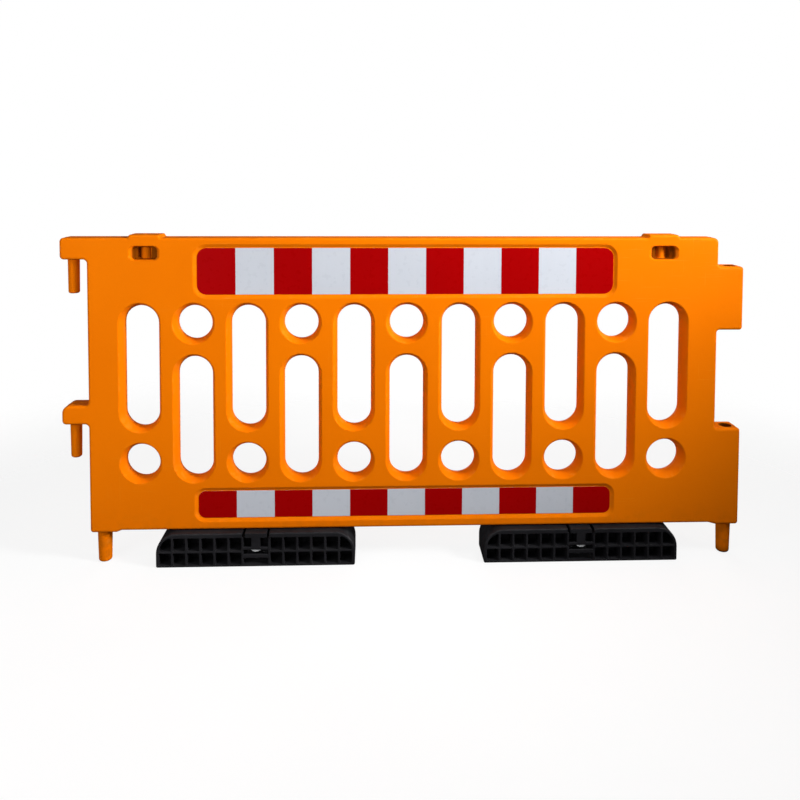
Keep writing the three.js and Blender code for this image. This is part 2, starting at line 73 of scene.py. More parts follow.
# ---------- dimensions of the moulding ----------

PANEL_LOW, PANEL_HIGH = span("panel_body")
HALF_THICKNESS = PANEL_HIGH.y
BLOCK_END = PANEL_HIGH.x
LAMP_PAD_TOP = PANEL_HIGH.z
GROUND_PIN_TIP = PANEL_LOW.z

PANEL_HALF_LENGTH = 952
PANEL_BOTTOM = 106
PANEL_TOP = 991
CORNER_BOSS_BOTTOM = 100
UPPER_ARM_BOTTOM = 926
MIDDLE_ARM_TOP = 487
MIDDLE_ARM_BOTTOM = 430
UPPER_BLOCK_TOP = 903
UPPER_BLOCK_BOTTOM = 708
LOWER_BLOCK_TOP = 402
CORNER = 12
TOP_RIGHT_CORNER = 15
MIDDLE_ARM_CORNER = 22
BLOCK_CORNER = 9
CORNER_BOSS_SLOPE = 15
EDGE_FILLET = 8
SEAM_HEIGHT = 0.6
SEAM_HALF_WIDTH = 1.2

COLUMN_COUNT = 11
COLUMN_PITCH = 159.8
WINDOW_RADIUS = 51.6
WINDOW_FLARE = 10.5
WINDOW_LIP = 2.5
UPPER_WINDOW_Z = 734
LOWER_WINDOW_Z = 311.5
SLOT_SPAN = 267.5

RECESS_MARGIN = 1.5
RECESS_SLOPE = 10
RECESS_FILLET = 2
STRIP_CORNERS = {"upper": 29, "lower": 21}

LAMP_X = 783
LAMP_PAD_HALF = 44
LAMP_PAD_SLOPE = 6
LAMP_PAD_CORNER = 4
LAMP_WINDOW_Z = 945
LAMP_RIM = (93, 46, 19)
LAMP_MOUTH = (68, 36, 9)
LAMP_SLOT = (44, 34, 8)
LAMP_RIM_DEPTH = 16
LAMP_SLOT_DEPTH = 32
LAMP_SHADE_HALF_HEIGHT = 22
LAMP_SHADE_DEPTHS = (33, 24)
LAMP_SHADE_REACH = (60, 55)
LAMP_COLUMN_RADIUS = 13.5
LAMP_COLUMN_HALF = 28
LAMP_BORE_RADIUS = 8
LAMP_BORE_BOTTOM = 915

LINK_PIN_X = -1001
UPPER_PIN_TIP = 822
UPPER_PIN_RADII = (16.2, 17)
UPPER_PIN_NOSE = 6
UPPER_PIN_NECK = 4
MIDDLE_PIN_TIP = 322
MIDDLE_PIN_RADII = (15.6, 17)
LEFT_GROUND_PIN_X = -919
GROUND_PIN_RADII = (19.5, 21.5)
PIN_NOSE = 7
PIN_NECK = 3

SOCKET_X = 999
SOCKET_RADIUS = 19
SOCKET_DEPTH = 120
SOCKET_LIP = 2.5
LAMP_BORE_LIP = 1.5
BORE_OVERSHOOT = 3
DRAIN_RADIUS = 5
DRAIN_REACH = 260
DRAIN_DEPTH = 12
DRAIN_LIP = 1
BOSS_RADIUS = 20
BOSS_CLEARANCE = 0.2
BOSS_OVERLAP = 4
INSERT_BORE_RADIUS = 11.2
INSERT_BORE_TOP = 146.2
INSERT_BORE_LIP = 0.4


# ---------- outlines ----------

def rounded_loop(corners, inset=0.0):
    """A closed outline through corners (x, z, radius), anticlockwise, moved inwards by inset."""
    points = []
    for index, (x, z, radius) in enumerate(corners):
        corner = Vector((x, z))
        before = (corner - Vector(corners[index - 1][:2])).normalized()
        after = (Vector(corners[(index + 1) % len(corners)][:2]) - corner).normalized()
        inward_before = Vector((-before.y, before.x))
        inward_after = Vector((-after.y, after.x))
        mitre = (inward_before + inward_after) / (1 + inward_before.dot(inward_after))
        turn = math.atan2(before.cross(after), before.dot(after))
        bend = math.copysign(1, turn)
        arc_radius = max(radius - bend * inset, SMALLEST_RADIUS)
        start = corner + mitre * inset - before * arc_radius * math.tan(abs(turn) / 2)
        centre = start + inward_before * bend * arc_radius
        steps = max(2, math.ceil(abs(turn) / QUARTER * ARC_STEPS))
        for step in range(steps + 1):
            arm = (start - centre) @ Matrix.Rotation(-turn * step / steps, 2)
            points.append(tuple(centre + arm))
    return points


def rounded_rectangle(width, height, radius, middle=(0, 0)):
    """A rounded rectangle's corners, for rounded_loop."""
    x, z = middle
    right, up = width / 2, height / 2
    ends = [(-right, -up), (right, -up), (right, up), (-right, up)]
    return [(x + dx, z + dz, radius) for dx, dz in ends]


def capsule_loop(x, low, high, radius):
    """An upright capsule, or a circle where low and high are the same."""
    points = []
    for step in range(2 * ARC_STEPS + 1):
        angle = 2 * QUARTER * step / (2 * ARC_STEPS)
        points.append((x + radius * math.cos(angle), high + radius * math.sin(angle)))
    for step in range(2 * ARC_STEPS + 1):
        angle = 2 * QUARTER * (1 + step / (2 * ARC_STEPS))
        points.append((x + radius * math.cos(angle), low + radius * math.sin(angle)))
    return points


def quarter(steps=FILLET_STEPS):
    """Sine and cosine at even steps through a quarter turn."""
    angles = [QUARTER * step / steps for step in range(steps + 1)]
    return [(math.sin(angle), math.cos(angle)) for angle in angles]


# ---------- meshes ----------

class Shell:
    """Points in millimetres and faces that together close one solid."""

    def __init__(self):
        self.points = []
        self.faces = []

    def ring(self, points):
        first = len(self.points)
        self.points += points
        return list(range(first, len(self.points)))

    def flat_ring(self, loop, y):
        return self.ring([(x, y, z) for x, z in loop])

    def strips(self, rings):
        """Joins each ring to the next with a band of quads."""
        for near, far in zip(rings, rings[1:]):
            for index in range(len(near)):
                self.faces.append((near[index - 1], near[index], far[index], far[index - 1]))

    def cap(self, ring):
        self.faces.append(tuple(ring))

    def sheet(self, rings):
        """Fills the flat region inside the first ring and outside the others."""
        order = [index for ring in rings for index in ring]
        places = [Vector((self.points[index][0], self.points[index][2])) for index in order]
        edges = []
        for ring in rings:
            first = len(edges)
            count = len(ring)
            edges += [(first + step, first + (step + 1) % count) for step in range(count)]
        outside = list(range(len(rings[0])))
        filled = delaunay_2d_cdt(places, edges, [outside], INSIDE_WITH_HOLES, SAME_POINT)
        sources = [order[found[0]] for found in filled[3]]
        self.faces += [tuple(sources[corner] for corner in face) for face in filled[2]]

    def piece(self, name):
        """The solid as an object, welded and turned outwards."""
        mesh = bpy.data.meshes.new(name)
        mesh.from_pydata([Vector(point) * MM for point in self.points], [], self.faces)
        made = bmesh.new()
        made.from_mesh(mesh)
        bmesh.ops.remove_doubles(made, verts=made.verts, dist=WELD_DISTANCE * MM)
        bmesh.ops.recalc_face_normals(made, faces=made.faces)
        made.to_mesh(mesh)
        made.free()
        piece = bpy.data.objects.new(name, mesh)
        bpy.context.scene.collection.objects.link(piece)
        return piece


def loft(name, loops):
    """A solid through a list of (outline, y)."""
    shell = Shell()
    rings = [shell.flat_ring(loop, y) for loop, y in loops]
    shell.strips(rings)
    shell.sheet([rings[0]])
    shell.sheet([rings[-1]])
    return shell.piece(name)


def turned(name, profile, centre=(0, 0), steps=TURNED_STEPS, hollow=False):
    """A solid turned from points (radius, z) about an upright line; a hollow one has a closed profile."""
    shell = Shell()
    rings = []
    for radius, z in profile + (profile[:1] if hollow else []):
        angles = [4 * QUARTER * step / steps for step in range(steps)]
        x, y = centre
        rings.append(shell.ring([
            (x + radius * math.cos(angle), y + radius * math.sin(angle), z) for angle in angles
        ]))
    shell.strips(rings)
    if not hollow:
        shell.cap(rings[0])
        shell.cap(rings[-1])
    return shell.piece(name)


def rounded_block(name, low, high, radius):
    """A block between two corners whose edges along Y and across its ends are rounded."""
    width, height = high[0] - low[0], high[2] - low[2]
    middle = ((high[0] + low[0]) / 2, (high[2] + low[2]) / 2)
    corners = rounded_rectangle(width, height, 2 * radius, middle)
    near = [(radius * (1 - s), low[1] + radius * (1 - c)) for s, c in quarter(3)]
    far = [(radius * (1 - s), high[1] - radius * (1 - c)) for s, c in reversed(quarter(3))]
    return loft(name, [(rounded_loop(corners, inset), y) for inset, y in near + far])


def joined(name, pieces):
    """Several closed pieces as one object."""
    made = bmesh.new()
    for piece in pieces:
        made.from_mesh(piece.data)
        bpy.data.objects.remove(piece)
    mesh = bpy.data.meshes.new(name)
    made.to_mesh(mesh)
    made.free()
    piece = bpy.data.objects.new(name, mesh)
    bpy.context.scene.collection.objects.link(piece)
    return piece


def combine(base, tool, operation):
    """Adds the tool to the base, or takes it away, and removes the tool."""
    modifier = base.modifiers.new("combine", "BOOLEAN")
    modifier.object = tool
    modifier.operation = operation
    modifier.solver = "MANIFOLD"
    evaluated = base.evaluated_get(bpy.context.evaluated_depsgraph_get())
    mesh = bpy.data.meshes.new_from_object(evaluated)
    base.modifiers.clear()
    base.data = mesh
    bpy.data.objects.remove(tool)


def smoothed(piece):
    """Shades curved surfaces smooth and flat faces flat."""
    piece.data.set_sharp_from_angle(angle=SMOOTH_ANGLE)
    modifier = piece.modifiers.new("normals", "WEIGHTED_NORMAL")
    modifier.keep_sharp = True
    modifier.weight = 80


def placed(piece, body, slot, finish, *nodes):
    """Puts a finished piece on its body in place of CAD nodes."""
    piece.data.materials.clear()
    piece.data.materials.append(finish)
    smoothed(piece)
    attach(piece, body)
    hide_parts(*nodes)


# ---------- finishes ----------

class Finish:
    """A procedural material, built up from short calls."""

    def __init__(self, name, constants):
        self.material = bpy.data.materials.new(name)
        self.material.use_nodes = True
        self.nodes = self.material.node_tree.nodes
        self.links = self.material.node_tree.links
        self.shader = self.nodes["Principled BSDF"]
        for socket, value in constants.items():
            self.shader.inputs[socket].default_value = value
        places = self.nodes.new("ShaderNodeTexCoord")
        self.place = places.outputs["Object"]
        self.normal = places.outputs["Normal"]

    def node(self, kind, inputs, **settings):
        """A new node; each input is a number or another node's output."""
        made = self.nodes.new("ShaderNode" + kind)
        for name, value in settings.items():
            setattr(made, name, value)
        for socket, value in inputs.items():
            if isinstance(value, bpy.types.NodeSocket):
                self.links.new(value, made.inputs[socket])
            else:
                made.inputs[socket].default_value = value
        return made.outputs[0]

    def set(self, socket, value):
        """Links a value to one of the shader's sockets."""
        self.links.new(value, self.shader.inputs[socket])

    def noise(self, scale, detail=3.0, stretch=None):
        """Noise over the surface; stretch gives a separate scale along each axis."""
        place = self.place
        if stretch:
            place = self.node("Mapping", {"Vector": place, "Scale": stretch})
        return self.node("TexNoise", {"Vector": place, "Scale": scale, "Detail": detail})

    def cells(self, scale):
        """The distance to the middle of the nearest of many scattered cells."""
        return self.node("TexVoronoi", {"Vector": self.place, "Scale": scale})

    def ramp(self, value, low, high, start=0.0, end=1.0):
        """A smooth step from start to end as the value goes from low to high."""
        inputs = {"Value": value, "From Min": low, "From Max": high, "To Min": start, "To Max": end}
        return self.node("MapRange", inputs, interpolation_type="SMOOTHSTEP")

    def maths(self, operation, a, b=0.0):
        return self.node("Math", {0: a, 1: b}, operation=operation)

    def mix(self, factor, a, b):
        return self.node("MixRGB", {"Fac": factor, "Color1": a, "Color2": b})

    def part_of(self, vector, axis):
        """One of a vector's three parts."""
        made = self.nodes.new("ShaderNodeSeparateXYZ")
        self.links.new(vector, made.inputs[0])
        return made.outputs[axis]

    def edges(self):
        """Where the surface turns between the main directions, as on a rounded edge."""
        largest = None
        for axis in range(3):
            size = self.maths("ABSOLUTE", self.part_of(self.normal, axis))
            largest = size if largest is None else self.maths("MAXIMUM", largest, size)
        return self.ramp(largest, 0.97, 0.75)

    def distance(self, place, centre=(0, 0, 0)):
        """How far a place is from a fixed centre, in metres."""
        apart = self.nodes.new("ShaderNodeVectorMath")
        apart.operation = "DISTANCE"
        self.links.new(place, apart.inputs[0])
        apart.inputs[1].default_value = centre
        return apart.outputs["Value"]

    def from_upright(self, x):
        """How far the surface is from an upright line at x millimetres along the panel, in metres."""
        level = self.node("VectorMath", {0: self.place, 1: (1, 1, 0)}, operation="MULTIPLY")
        return self.distance(level, (x * MM, 0, 0))

    def in_sockets(self):
        """The inside of the link sockets, where shade is painted."""
        return self.ramp(self.from_upright(SOCKET_X), (SOCKET_RADIUS + 1) * MM, SOCKET_RADIUS * MM)

    def in_lamp_windows(self):
        """The depths of the lamp windows on both sides of their columns, where shade is painted."""
        height = self.part_of(self.place, 2)
        low = (LAMP_WINDOW_Z - LAMP_SHADE_HALF_HEIGHT) * MM
        high = (LAMP_WINDOW_Z + LAMP_SHADE_HALF_HEIGHT) * MM
        above = self.ramp(height, low, low + 3 * MM)
        below = self.ramp(height, high, high - 3 * MM)
        shallow, deep = LAMP_SHADE_DEPTHS
        from_middle = self.maths("ABSOLUTE", self.part_of(self.place, 1))
        inside = self.maths("MULTIPLY", above, below)
        inside = self.maths("MULTIPLY", inside, self.ramp(from_middle, shallow * MM, deep * MM))
        outer, inner = LAMP_SHADE_REACH
        shade = 0.0
        for x in (-LAMP_X, LAMP_X):
            apart = self.from_upright(x)
            beside = self.ramp(apart, (LAMP_COLUMN_RADIUS + 0.5) * MM, (LAMP_COLUMN_RADIUS + 4) * MM)
            near = self.ramp(apart, outer * MM, inner * MM)
            shade = self.maths("MAXIMUM", shade, self.maths("MULTIPLY", beside, near))
        return self.maths("MULTIPLY", inside, shade)

    def bump(self, height, distance, strength=1.0, under=None):
        """A normal bent by a height field, on top of another normal if there is one."""
        inputs = {"Height": height, "Distance": distance, "Strength": strength}
        if under:
            inputs["Normal"] = under
        return self.node("Bump", inputs)


SPLASH_HEIGHT = 190


def hdpe_finish():
    """Orange blow-moulded polyethylene: satin, slightly wavy, with a fine grain, scuffs and worn edges, and
    painted shade inside the link sockets and the lamp windows.
    """
    finish = Finish("hdpe_orange", {"Specular IOR Level": 0.16, "Specular Tint": (1.0, 0.35, 0.02, 1)})
    tone = finish.ramp(finish.noise(2.3), 0.3, 0.7)
    colour = finish.mix(tone, (0.87, 0.182, 0.0006, 1), (0.91, 0.197, 0.0008, 1))
    grain = finish.noise(520, 2.0)
    colour = finish.mix(finish.ramp(grain, 0.35, 0.65, 0.0, 0.10), colour, (0.70, 0.135, 0.0005, 1))
    patches = finish.ramp(finish.noise(3.1, 2.0), 0.48, 0.62)
    level_marks = finish.ramp(finish.noise(1.0, 4.0, (9, 9, 330)), 0.655, 0.70)
    upright_marks = finish.ramp(finish.noise(1.0, 4.0, (300, 300, 11)), 0.665, 0.71)
    marks = finish.maths("MULTIPLY", finish.maths("MAXIMUM", level_marks, upright_marks), patches)
    colour = finish.mix(finish.maths("MULTIPLY", marks, 0.25), colour, (0.94, 0.30, 0.03, 1))
    chips = finish.ramp(finish.noise(55, 4.0), 0.50, 0.66)
    worn = finish.maths("MULTIPLY", finish.edges(), chips)
    colour = finish.mix(finish.maths("MULTIPLY", worn, 0.22), colour, (0.95, 0.33, 0.04, 1))
    splash = finish.ramp(finish.part_of(finish.place, 2), SPLASH_HEIGHT * MM, 0.0)
    soil = finish.maths("MULTIPLY", splash, finish.ramp(finish.noise(38, 5.0), 0.42, 0.70))
    colour = finish.mix(finish.maths("MULTIPLY", soil, 0.30), colour, (0.22, 0.075, 0.01, 1))
    # Painted shade: the insides of the link sockets are darkened almost to black.
    colour = finish.mix(finish.maths("MULTIPLY", finish.in_sockets(), 0.9), colour, (0.020, 0.006, 0.001, 1))
    # Painted shade: the depths of the lamp windows beside their columns are darkened.
    shade = finish.maths("MULTIPLY", finish.in_lamp_windows(), 0.85)
    colour = finish.mix(shade, colour, (0.10, 0.020, 0.0005, 1))
    finish.set("Base Color", colour)
    rough = finish.ramp(finish.noise(17, 4.0), 0.3, 0.7, 0.40, 0.50)
    rough = finish.maths("ADD", rough, finish.maths("MULTIPLY", marks, 0.16))
    finish.set("Roughness", finish.maths("ADD", rough, finish.maths("MULTIPLY", soil, 0.25)))
    wavy = finish.bump(finish.noise(5.5, 1.0), 0.004, 0.30)
    grained = finish.bump(grain, 0.0002, 0.5, wavy)
    finish.set("Normal", finish.bump(marks, 0.0001, 0.4, grained))
    return finish.material


def film_finish(name, light, dark, soil_colour, gloss_tint):
    """Retroreflective sheeting: a smooth face over fine beads, with faint upright creases."""
    finish = Finish(name, {"Specular IOR Level": 0.30, "Specular Tint": gloss_tint})
    colour = finish.mix(finish.ramp(finish.noise(4.0), 0.3, 0.7), light, dark)
    beads = finish.cells(1900)
    colour = finish.mix(finish.ramp(beads, 0.0, 0.8, 0.0, 0.10), colour, soil_colour)
    dust = finish.ramp(finish.noise(26, 5.0), 0.55, 0.80, 0.0, 0.06)
    finish.set("Base Color", finish.mix(dust, colour, soil_colour))
    finish.set("Roughness", finish.ramp(finish.noise(60, 3.0), 0.3, 0.7, 0.26, 0.36))
    creases = finish.bump(finish.noise(1.0, 2.0, (34, 4, 2.2)), 0.0012, 0.3)
    finish.set("Normal", finish.bump(beads, 0.00006, 0.4, creases))
    return finish.material


def foot_finish():
    """Black recycled plastic: matt, pebbled, a few pale flecks, and a little dust where it faces up."""
    finish = Finish("recycled_black", {"Specular IOR Level": 0.20})
    shade = finish.ramp(finish.noise(9.0), 0.3, 0.7)
    colour = finish.mix(shade, (0.010, 0.0095, 0.0115, 1), (0.016, 0.0155, 0.018, 1))
    flecks = finish.ramp(finish.cells(330), 0.10, 0.04)
    scattered = finish.maths("MULTIPLY", flecks, finish.ramp(finish.noise(120), 0.55, 0.65))
    colour = finish.mix(finish.maths("MULTIPLY", scattered, 0.5), colour, (0.07, 0.07, 0.07, 1))
    rubbed = finish.maths("MULTIPLY", finish.edges(), finish.ramp(finish.noise(80, 4.0), 0.40, 0.65))
    colour = finish.mix(finish.maths("MULTIPLY", rubbed, 0.35), colour, (0.04, 0.04, 0.044, 1))
    upward = finish.ramp(finish.part_of(finish.normal, 2), 0.5, 0.95)
    dust = finish.maths("MULTIPLY", upward, finish.ramp(finish.noise(30, 5.0), 0.35, 0.75))
    colour = finish.mix(finish.maths("MULTIPLY", dust, 0.03), colour, (0.16, 0.15, 0.14, 1))
    finish.set("Base Color", colour)
    rough = finish.ramp(finish.noise(45, 4.0), 0.3, 0.7, 0.46, 0.62)
    finish.set("Roughness", finish.maths("ADD", rough, finish.maths("MULTIPLY", dust, 0.2)))
    pebbles = finish.bump(finish.noise(240, 3.0), 0.0005, 0.35)
    finish.set("Normal", finish.bump(finish.noise(14, 1.0), 0.002, 0.2, pebbles))
    return finish.material


def metal_finish(name, light, dark, crystal_scale, metallic=1.0):
    """A plated metal with a faint crystal pattern and fine scratches."""
    finish = Finish(name, {"Metallic": metallic})
    finish.set("Base Color", finish.mix(finish.ramp(finish.cells(crystal_scale), 0.0, 0.9), light, dark))
    finish.set("Roughness", finish.ramp(finish.noise(300, 3.0), 0.3, 0.7, 0.28, 0.45))
    finish.set("Normal", finish.bump(finish.noise(1.0, 3.0, (900, 900, 90)), 0.00005, 0.4))
    return finish.material


def nylon_finish():
    """Nylon in a dark grey that is painted shade round the pivot, with darker greasy patches."""
    finish = Finish("nylon_painted_shade", {"Specular IOR Level": 0.5})
    # Painted shade: a dark grey in place of the nylon's own pale colour.
    colour = finish.mix(finish.noise(70), (0.085, 0.08, 0.07, 1), (0.055, 0.05, 0.042, 1))
    grease = finish.ramp(finish.noise(160, 4.0), 0.52, 0.70, 0.0, 0.4)
    finish.set("Base Color", finish.mix(grease, colour, (0.03, 0.027, 0.022, 1)))
    finish.set("Roughness", finish.ramp(finish.noise(200), 0.3, 0.7, 0.35, 0.55))
    finish.set("Normal", finish.bump(finish.noise(1.0, 2.0, (60, 60, 1500)), 0.00008, 0.5))
    return finish.material


HDPE = hdpe_finish()
WHITE_FILM = film_finish(
    "film_white", (0.59, 0.62, 0.68, 1), (0.565, 0.595, 0.655, 1), (0.46, 0.47, 0.50, 1),
    (1, 1, 1, 1),
)
RED_FILM = film_finish(
    "film_red", (0.375, 0.0004, 0.0008, 1), (0.35, 0.0003, 0.0007, 1), (0.22, 0.002, 0.003, 1),
    (1, 0.06, 0.09, 1),
)
FOOT_PLASTIC = foot_finish()
# Steel grey, but almost matt, so that the latch edge shows as a painted highlight: a bright crescent under
# the ledge.
LATCH_STEEL_PAINTED_BRIGHT = metal_finish("latch_steel_painted_bright", (0.62, 0.63, 0.64, 1), (0.54, 0.55, 0.56, 1), 420, 0.1)
BOLT_STEEL = metal_finish("bolt_steel", (0.045, 0.045, 0.05, 1), (0.03, 0.03, 0.033, 1), 420)
BRASS = metal_finish("brass_plain", (0.62, 0.44, 0.17, 1), (0.50, 0.34, 0.12, 1), 700)
NYLON = nylon_finish()


# ---------- panel ----------

def lamp_pad_corners(x):
    """One lamp pad's outline, from right to left along the panel's top."""
    foot = LAMP_PAD_HALF + LAMP_PAD_SLOPE
    return [
        (x + foot, PANEL_TOP, LAMP_PAD_CORNER),
        (x + LAMP_PAD_HALF, LAMP_PAD_TOP, LAMP_PAD_CORNER),
        (x - LAMP_PAD_HALF, LAMP_PAD_TOP, LAMP_PAD_CORNER),
        (x - foot, PANEL_TOP, LAMP_PAD_CORNER),
    ]


def panel_corners():
    """The panel's outline with its arms, blocks, bosses and lamp pads, anticlockwise."""
    left, right = -PANEL_HALF_LENGTH, PANEL_HALF_LENGTH
    left_boss_end = 2 * LEFT_GROUND_PIN_X - left + CORNER
    return [
        (left, CORNER_BOSS_BOTTOM, BLOCK_CORNER),
        (left_boss_end, CORNER_BOSS_BOTTOM, CORNER),
        (left_boss_end + CORNER_BOSS_SLOPE, PANEL_BOTTOM, CORNER),
        (right - CORNER_BOSS_SLOPE, PANEL_BOTTOM, CORNER),
        (right + CORNER_BOSS_SLOPE / 2, CORNER_BOSS_BOTTOM, CORNER),
        (BLOCK_END, CORNER_BOSS_BOTTOM, BLOCK_CORNER),
        (BLOCK_END, LOWER_BLOCK_TOP, BLOCK_CORNER),
        (right, LOWER_BLOCK_TOP, BLOCK_CORNER),
        (right, UPPER_BLOCK_BOTTOM, BLOCK_CORNER),
        (BLOCK_END, UPPER_BLOCK_BOTTOM, BLOCK_CORNER),
        (BLOCK_END, UPPER_BLOCK_TOP, BLOCK_CORNER),
        (right, UPPER_BLOCK_TOP, BLOCK_CORNER),
        (right, PANEL_TOP, TOP_RIGHT_CORNER),
        *lamp_pad_corners(LAMP_X),
        *lamp_pad_corners(-LAMP_X),
        (-BLOCK_END, PANEL_TOP, CORNER),
        (-BLOCK_END, UPPER_ARM_BOTTOM, CORNER),
        (left, UPPER_ARM_BOTTOM, CORNER),
        (left, MIDDLE_ARM_TOP, CORNER),
        (-BLOCK_END, MIDDLE_ARM_TOP, MIDDLE_ARM_CORNER),
        (-BLOCK_END, MIDDLE_ARM_BOTTOM, CORNER),
        (left, MIDDLE_ARM_BOTTOM, CORNER),
    ]


def both_ways(front):
    """A profile of (amount, y) from the front face to the parting plane, carried on to the rear face."""
    return front + [(amount, -y) for amount, y in reversed(front)]


def edge_profile():
    """The panel's rounded edge as (inset, y), with the thin seam that the mould leaves."""
    fillet = [(EDGE_FILLET * (1 - s), EDGE_FILLET * (1 - c) - HALF_THICKNESS) for s, c in quarter()]
    return both_ways(fillet + [(0, -SEAM_HALF_WIDTH), (-SEAM_HEIGHT, -SEAM_HALF_WIDTH / 3)])


def window_profile():
    """A window's wall as (growth, y): a soft lip at the face, then a curve that is steepest at the seam."""
    depth = HALF_THICKNESS - SEAM_HALF_WIDTH - 0.4 * WINDOW_LIP
    opening = 2 * math.atan2(WINDOW_FLARE, depth)
    radius = depth / math.sin(opening)
    profile = [
        (WINDOW_FLARE + WINDOW_LIP, -HALF_THICKNESS),
        (WINDOW_FLARE + 0.45 * WINDOW_LIP, 0.12 * WINDOW_LIP - HALF_THICKNESS),
    ]
    for step in range(FILLET_STEPS + 1):
        angle = opening * (1 - step / FILLET_STEPS)
        profile.append((radius * (1 - math.cos(angle)), -SEAM_HALF_WIDTH - radius * math.sin(angle)))
    return both_ways(profile + [(-SEAM_HEIGHT, -SEAM_HALF_WIDTH / 3)])


def windows():
    """Each window as x and the heights of its two round ends; slots are up in even columns."""
    found = []
    for index in range(COLUMN_COUNT):
        x = (index - (COLUMN_COUNT - 1) / 2) * COLUMN_PITCH
        if index % 2 == 0:
            found.append((x, UPPER_WINDOW_Z - SLOT_SPAN, UPPER_WINDOW_Z))
            found.append((x, LOWER_WINDOW_Z, LOWER_WINDOW_Z))
        else:
            found.append((x, LOWER_WINDOW_Z, LOWER_WINDOW_Z + SLOT_SPAN))
            found.append((x, UPPER_WINDOW_Z, UPPER_WINDOW_Z))
    return found


def film_recess(strip):
    """The recess for one film as (outline, depth below the face)."""
    low, high = span(f"film_rear_{strip}")
    depth = HALF_THICKNESS - low.y
    width = high.x - low.x + 2 * RECESS_MARGIN
    height = high.z - low.z + 2 * RECESS_MARGIN
    corners = rounded_rectangle(width, height, STRIP_CORNERS[strip], (0, (low.z + high.z) / 2))
    slope = RECESS_SLOPE + RECESS_FILLET / 2
    profile = [
        (slope, 0), (slope - 0.45 * RECESS_FILLET, 0.06 * RECESS_FILLET),
        (slope - 0.95 * RECESS_FILLET, 0.33 * RECESS_FILLET),
        (0.95 * RECESS_FILLET / 2, depth - 0.25 * RECESS_FILLET), (0, depth),
    ]
    return [(rounded_loop(corners, -growth), below) for growth, below in profile]


def lamp_window(x):
    """The recess under a lamp pad as (outline, depth below the face): a scooped rim, a ledge and a slot."""
    middle = (x, LAMP_WINDOW_Z)
    loops = []
    for sine, cosine in quarter():
        sizes = [mouth + (rim - mouth) * (1 - sine) for rim, mouth in zip(LAMP_RIM, LAMP_MOUTH)]
        depth = LAMP_RIM_DEPTH * (1 - cosine) * 0.6 + LAMP_RIM_DEPTH * sine * 0.4
        loops.append((rounded_loop(rounded_rectangle(*sizes, middle)), depth))
    slot = rounded_loop(rounded_rectangle(*LAMP_SLOT, middle))
    return loops + [(slot, LAMP_RIM_DEPTH + 1), (slot, LAMP_SLOT_DEPTH)]


def panel_plate():
    """The flat panel with its rounded edge, windows and recesses."""
    shell = Shell()
    corners = panel_corners()
    edge = [shell.flat_ring(rounded_loop(corners, inset), y) for inset, y in edge_profile()]
    shell.strips(edge)
    faces = {-1: [edge[0]], 1: [edge[-1]]}
    for x, low, high in windows():
        rings = [
            shell.flat_ring(capsule_loop(x, low, high, WINDOW_RADIUS + growth), y)
            for growth, y in window_profile()
        ]
        shell.strips(rings)
        faces[-1].append(rings[0])
        faces[1].append(rings[-1])
    recesses = [film_recess("upper"), film_recess("lower"), lamp_window(-LAMP_X), lamp_window(LAMP_X)]
    for side in (-1, 1):
        for recess in recesses:
            rings = [shell.flat_ring(loop, side * (HALF_THICKNESS - below)) for loop, below in recess]
            shell.strips(rings)
            shell.sheet([rings[-1]])
            faces[side].append(rings[0])
        shell.sheet(faces[side])
    return shell.piece("panel_moulding")


def pin(x, tip, root, radii, nose, neck):
    """A round pin with a rounded nose and a fillet where it leaves the panel."""
    tip_radius, root_radius = radii
    profile = [(tip_radius - nose, tip)]
    profile += [(tip_radius - nose * (1 - s), tip + nose * (1 - c)) for s, c in quarter()[1:]]
    profile += [(root_radius + neck * (1 - c), root - neck * (1 - s)) for s, c in quarter()]
    return turned("pin", profile + [(root_radius + neck, root + EDGE_FILLET)], (x, 0))


def bore(x, bottom, top, radius, lip):
    """A round hole from above with a rounded lip."""
    profile = [(radius, bottom)]
    profile += [(radius + lip * (1 - c), top - lip * (1 - s)) for s, c in quarter(4)]
    return turned("bore", profile + [(radius + lip, top + BORE_OVERSHOOT)], (x, 0))


def bore_from_below(x, bottom, top, radius, lip):
    """A round blind hole from below with a rounded lip."""
    profile = [(radius + lip, bottom - BORE_OVERSHOOT)]
    profile += [(radius + lip * (1 - c), bottom + lip * (1 - s)) for s, c in reversed(quarter(4))]
    return turned("bore", profile + [(radius, top)], (x, 0))


def panel_additions(pivots, boss_bottom):
    """The pins, the columns in the lamp windows and the bosses over the feet."""
    additions = [
        pin(LINK_PIN_X, UPPER_PIN_TIP, UPPER_ARM_BOTTOM, UPPER_PIN_RADII, UPPER_PIN_NOSE, UPPER_PIN_NECK),
        pin(LINK_PIN_X, MIDDLE_PIN_TIP, MIDDLE_ARM_BOTTOM, MIDDLE_PIN_RADII, PIN_NOSE, PIN_NECK),
        pin(LEFT_GROUND_PIN_X, GROUND_PIN_TIP, CORNER_BOSS_BOTTOM, GROUND_PIN_RADII, PIN_NOSE, PIN_NECK),
        pin(SOCKET_X, GROUND_PIN_TIP, CORNER_BOSS_BOTTOM, GROUND_PIN_RADII, PIN_NOSE, PIN_NECK),
    ]
    low, high = LAMP_WINDOW_Z - LAMP_COLUMN_HALF, LAMP_WINDOW_Z + LAMP_COLUMN_HALF
    for x in (-LAMP_X, LAMP_X):
        column = [(LAMP_COLUMN_RADIUS, low), (LAMP_COLUMN_RADIUS, high)]
        additions.append(turned("column", column, (x, 0)))
    for x in pivots:
        boss = [
            (BOSS_RADIUS - 1, boss_bottom),
            (BOSS_RADIUS, boss_bottom + 1),
            (BOSS_RADIUS, PANEL_BOTTOM + BOSS_OVERLAP),
        ]
        additions.append(turned("boss", boss, (x, 0)))
    return additions


